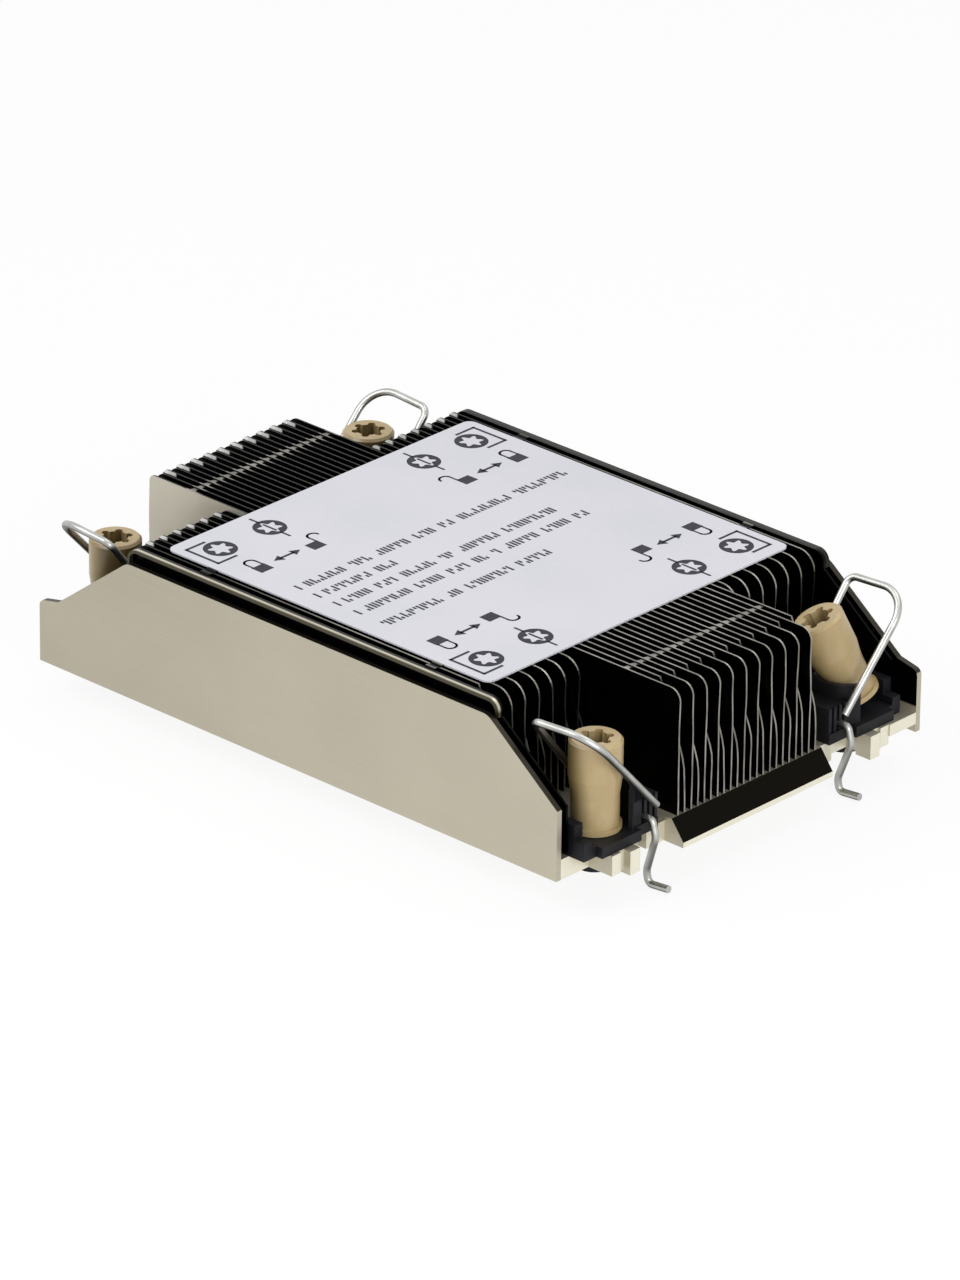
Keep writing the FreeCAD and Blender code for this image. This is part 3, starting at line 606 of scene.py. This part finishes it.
for row, node in enumerate(sideNodes):
    low, high = spanOf(node)
    number = tongueCount // 2 + row

    def build(shape):
        for side in (1, -1):
            y = side * (high.y - fin["thick"] / 2)
            plain = (row % 2 == 0) == (side > 0)
            radii = (fin["nick"], fin["sideRound"]) if plain else (fin["round"], None)
            addFinSheet(shape, number + fin["sideNumber"] * (side > 0), y, low.x, high.x, radii)
            # bent tabs, one of which shows on either side of the label
            for place in bentTab["places"]:
                addBentTab(shape, place, y, side)

    mesh = meshFrom(node, build)
    addPiece(f"sideFins{row + 1:02d}", mesh, "fin", "heatsink", "fin_metal", node)
print("fins made:", tongueCount + 2 * len(sideNodes))


# label and its print
label = {"sink": 0.03, "ink": 0.02, "round": 1.5, "roundSteps": 6}
labelLow, labelHigh = spanOf("label")
filmTop = labelHigh.z - label["sink"]
inkTop = filmTop + label["ink"]


def addPlate(shape, outline, low, high):
    # a flat plate with any outline, in millimetres
    addPrism(shape, outline, (low, high), lambda x, y, z: (x, y, z))


def addRing(shape, outer, inner, low, high):
    # a plate with a hole: both outlines have as many points
    loops = [[shape.verts.new((x * mm, y * mm, z * mm)) for x, y in outline]
             for outline, z in ((outer, low), (inner, low), (inner, high), (outer, high))]
    for first, second in zip(loops, loops[1:] + loops[:1]):
        for index in range(len(outer)):
            after = (index + 1) % len(outer)
            shape.faces.new((first[index], first[after], second[after], second[index]))


def buildFilm(shape):
    radius, steps = label["round"], label["roundSteps"]
    outline = []
    for turn, (sx, sy) in enumerate(((1, 1), (-1, 1), (-1, -1), (1, -1))):
        for step in range(steps + 1):
            angle = math.pi / 2 * (turn + step / steps)
            outline.append((sx * (labelHigh.x - radius) + radius * math.cos(angle),
                            sy * (labelHigh.y - radius) + radius * math.sin(angle)))
    addPlate(shape, outline, labelLow.z, filmTop)


# one corner's icons: the other corners mirror them
icons = {
    "line": 0.50, "thin": 0.42, "points": 36,
    "screw": (28.3, 28.5), "slot": (28.3, 17.5),
    "disc": 2.75, "star": (1.25, 2.1), "lobes": 6, "lobeCurve": 1.4,
    "dashes": ((-4.3, -2.6), (-1.3, 1.3), (2.6, 4.3)),
    "bracket": ((-3.6, 0.2), (-3.6, 4.1), (3.4, 4.1), (3.4, 0.2)),
    "locks": (((18.8, 29.0), 0.0), ((18.8, 17.2), 2.2)), "lockHalf": 1.35, "lockShort": 0.4,
    "shackleInset": 0.3, "shackleOut": 1.1, "shackleFlat": 0.9, "shackleSteps": 8, "shackleLine": 0.378,
    "arrow": (19.2, 23.0), "arrowShaft": 1.4, "arrowHead": (1.2, 2.9), "arrowHalf": 0.95,
}


def line(a, b, width):
    # outline of a straight stroke
    along = (Vector(b) - Vector(a)).normalized() * width / 2
    side = Vector((-along.y, along.x))
    return [tuple(Vector(a) - along + side), tuple(Vector(a) - along - side),
            tuple(Vector(b) + along - side), tuple(Vector(b) + along + side)]


def strokes(points, width):
    return [line(a, b, width) for a, b in zip(points, points[1:])]


def discRadius(angle):
    return icons["disc"]


def starRadius(angle):
    # rounded lobes
    inner, outer = icons["star"]
    lobe = 0.5 + 0.5 * math.cos(icons["lobes"] * angle)
    return inner + (outer - inner) * lobe ** icons["lobeCurve"]


def roundOutline(centre, radiusAt):
    angles = [2 * math.pi * index / icons["points"] for index in range(icons["points"])]
    return [(centre[0] + radiusAt(a) * math.cos(a), centre[1] + radiusAt(a) * math.sin(a)) for a in angles]


def lockOutlines(centre, opened):
    # a lock's body, and its shackle outward: an opened one has moved aside and has lost a leg
    x, y = centre
    half = icons["lockHalf"]
    edge = x + half - icons["lockShort"]
    body = [(x - half, y - half), (edge, y - half), (edge, y + half), (x - half, y + half)]
    bow = half - icons["shackleInset"]
    y -= opened
    shackle = [] if opened else [(edge, y - bow)]
    for step in range(icons["shackleSteps"] + 1):
        angle = -math.pi / 2 + math.pi * step / icons["shackleSteps"]
        shackle.append((x + half + icons["shackleOut"] + bow * icons["shackleFlat"] * math.cos(angle),
                        y + bow * math.sin(angle)))
    shackle.append((edge, y + bow))
    return [body, *strokes(shackle, icons["shackleLine"])]


def arrowOutlines():
    # an arrow with a head at both ends
    x, y = icons["arrow"]
    shaft, half = icons["arrowShaft"], icons["arrowHalf"]
    foot, tip = icons["arrowHead"]
    heads = [[(x, y + end * tip), (x - half, y + end * foot), (x + half, y + end * foot)] for end in (-1, 1)]
    return [line((x, y - shaft), (x, y + shaft), icons["line"]), *heads]


def buildIcons(shape):
    x, y = icons["slot"]
    outlines = [line((x + a, y), (x + b, y), icons["thin"]) for a, b in icons["dashes"]]
    x, y = icons["screw"]
    outlines += strokes([(x + a, y + b) for a, b in icons["bracket"]], icons["line"])
    # two locks with their shackles outward, and the arrow between them
    for centre, opened in icons["locks"]:
        outlines += lockOutlines(centre, opened)
    outlines += arrowOutlines()
    for sx, sy in corners.values():
        def mirrored(outline):
            return [(x * sx, y * sy) for x, y in outline]

        for centre in (icons["screw"], icons["slot"]):
            disc, star = (mirrored(roundOutline(centre, radiusAt)) for radiusAt in (discRadius, starRadius))
            addRing(shape, disc, star, filmTop, inkTop)
        for outline in outlines:
            addPlate(shape, mirrored(outline), filmTop, inkTop)


# a line is its place along the label and how many marks each of its groups has
rows = {
    "height": 1.90, "stroke": 0.42, "letter": 1.08, "gap": 0.36, "space": 1.44, "start": -30.5,
    "numbered": 4, "numberGap": 1.9,
    "lines": ((-9.7, (6, 3, 5, 3, 2, 8, 8)), (-5.6, (7, 3)), (-1.4, (4, 3, 5, 2, 6, 8)),
              (3.0, (7, 4, 3, 2, 1, 5, 4, 2)), (8.7, (9, 2, 7, 5))),
    "marks": (((-0.5, 0.5), (-0.5, 0.5)), ((-0.5, 0.5), (0.1, 0.5)), ((-0.5, -0.1), (-0.5, 0.5)),
              ((-0.5, 0.5), (-0.5, 0.0)), ((0.1, 0.5), (-0.5, 0.5))),
}


def buildRows(shape):
    # rows of plain upright strokes, two for each mark, stand where printed lines would be
    def stroke(x, y, low, high):
        low, high, end = x + low * rows["height"], x + high * rows["height"], y + rows["stroke"]
        addPlate(shape, [(low, y), (high, y), (high, end), (low, end)], filmTop, inkTop)

    for index, (x, groups) in enumerate(rows["lines"]):
        y = rows["start"]
        if index < rows["numbered"]:
            stroke(x, y, -0.5, 0.5)
            y += rows["numberGap"]
        for group, count in enumerate(groups):
            for letter in range(count):
                # the kinds of mark follow each other in no plain order
                first, second = rows["marks"][(3 * index + 2 * group + letter * letter) % len(rows["marks"])]
                stroke(x, y, *first)
                stroke(x, y + rows["letter"] - rows["stroke"], *second)
                y += rows["letter"] + rows["gap"]
            y += rows["space"]


addPiece("labelFilmSheet", meshFrom("labelFilmSheet", buildFilm), "label", "heatsink", "label_film", "label")
addPiece("labelIcons", meshFrom("labelIcons", buildIcons), "ink", "heatsink", "label_film")
addPiece("labelRows", meshFrom("labelRows", buildRows), "rowInk", "heatsink", "label_film")
print("label made")


# studio: a lamp is its name, place, width and power
studio = {
    "white": (1, 1, 1), "world": 0.38,
    "floorHalf": 2.4, "floorColor": (0.90, 0.90, 0.90), "floorRoughness": 0.9, "floorWhite": 0.90,
    "lamps": (("keyLamp", (-0.25, -0.45, 0.55), 0.45, 2.7), ("fillLamp", (0.60, -0.25, 0.25), 0.35, 2.2),
              ("topLamp", (0.05, 0.25, 0.70), 0.50, 1.5)),
}


def makeStage():
    low = cadBox[0][2]
    half = studio["floorHalf"]

    def build(shape):
        for x, y in ((-half, -half), (half, -half), (half, half), (-half, half)):
            shape.verts.new((x, y, low))
        shape.faces.new(shape.verts[:])

    floor = bpy.data.objects.new("floor", meshFrom("floor", build))
    bpy.context.scene.collection.objects.link(floor)
    finish = Finish("floorPaint", Base_Color=studio["floorColor"], Metallic=0.0,
                    Roughness=studio["floorRoughness"])
    # the camera and mirror-like metal see the floor as plain white, and shadows still darken it
    rays = finish.node("ShaderNodeLightPath")
    white = finish.node("ShaderNodeEmission", {}, {"Color": studio["white"], "Strength": 1.0})[0]
    seen = rays["Is Camera Ray"].calc("MAXIMUM", rays["Is Glossy Ray"]) * studio["floorWhite"]
    paint = Value(finish, finish.shader.outputs[0])
    shown = finish.node("ShaderNodeMixShader", {}, {0: seen, 1: paint, 2: white})[0]
    finish.feed(finish.tree.nodes["Material Output"].inputs["Surface"], shown)
    floor.data.materials.append(finish.material)


def makeWorld():
    # the object is lit dimly from all round, while the background and reflections are plain white
    world = bpy.data.worlds.new("studio")
    world.use_nodes = True
    world.node_tree.nodes.clear()
    bpy.context.scene.world = world
    nodes = Nodes(world.node_tree)
    dim, bright = (nodes.node("ShaderNodeBackground", {}, {"Color": studio["white"], "Strength": strength})[0]
                   for strength in (studio["world"], 1.0))
    rays = nodes.node("ShaderNodeLightPath")
    seen = rays["Is Camera Ray"].calc("MAXIMUM", rays["Is Glossy Ray"])
    seen = seen.calc("MAXIMUM", rays["Is Transmission Ray"])
    shown = nodes.node("ShaderNodeMixShader", {}, {0: seen, 1: dim, 2: bright})[0]
    nodes.node("ShaderNodeOutputWorld", {}, {"Surface": shown})


def makeLamps():
    for name, place, width, power in studio["lamps"]:
        data = bpy.data.lights.new(name, "AREA")
        data.size = width
        data.energy = power
        lamp = bpy.data.objects.new(name, data)
        bpy.context.scene.collection.objects.link(lamp)
        lamp.location = place
        lamp.rotation_euler = (-Vector(place)).to_track_quat("-Z", "Y").to_euler()


view = {"azimuth": 42.83, "elevation": 25.45, "roll": 0.69, "distance": 1.4643,
        "across": 0.00038, "up": 0.00857, "lens": 350.35, "sensor": 36.0, "clip": (0.05, 20.0)}


def makeCamera():
    azimuth, elevation, roll = (math.radians(view[k]) for k in ("azimuth", "elevation", "roll"))
    back = Vector((math.sin(azimuth) * math.cos(elevation), -math.cos(azimuth) * math.cos(elevation),
                   math.sin(elevation)))
    right = Vector((math.cos(azimuth), math.sin(azimuth), 0))
    up = back.cross(right)
    place = back * view["distance"] + right * view["across"] + up * view["up"]
    rightRolled = right * math.cos(roll) + up * math.sin(roll)
    upRolled = up * math.cos(roll) - right * math.sin(roll)
    data = bpy.data.cameras.new("camera")
    data.sensor_fit = "HORIZONTAL"
    data.sensor_width = view["sensor"]
    data.lens = view["lens"]
    data.clip_start, data.clip_end = view["clip"]
    camera = bpy.data.objects.new("camera", data)
    bpy.context.scene.collection.objects.link(camera)
    turn = Matrix((rightRolled, upRolled, back)).transposed().to_4x4()
    camera.matrix_world = Matrix.Translation(place) @ turn
    bpy.context.scene.camera = camera


makeStage()
makeWorld()
makeLamps()
makeCamera()
bpy.context.scene.view_settings.view_transform = "Standard"
print("studio made")
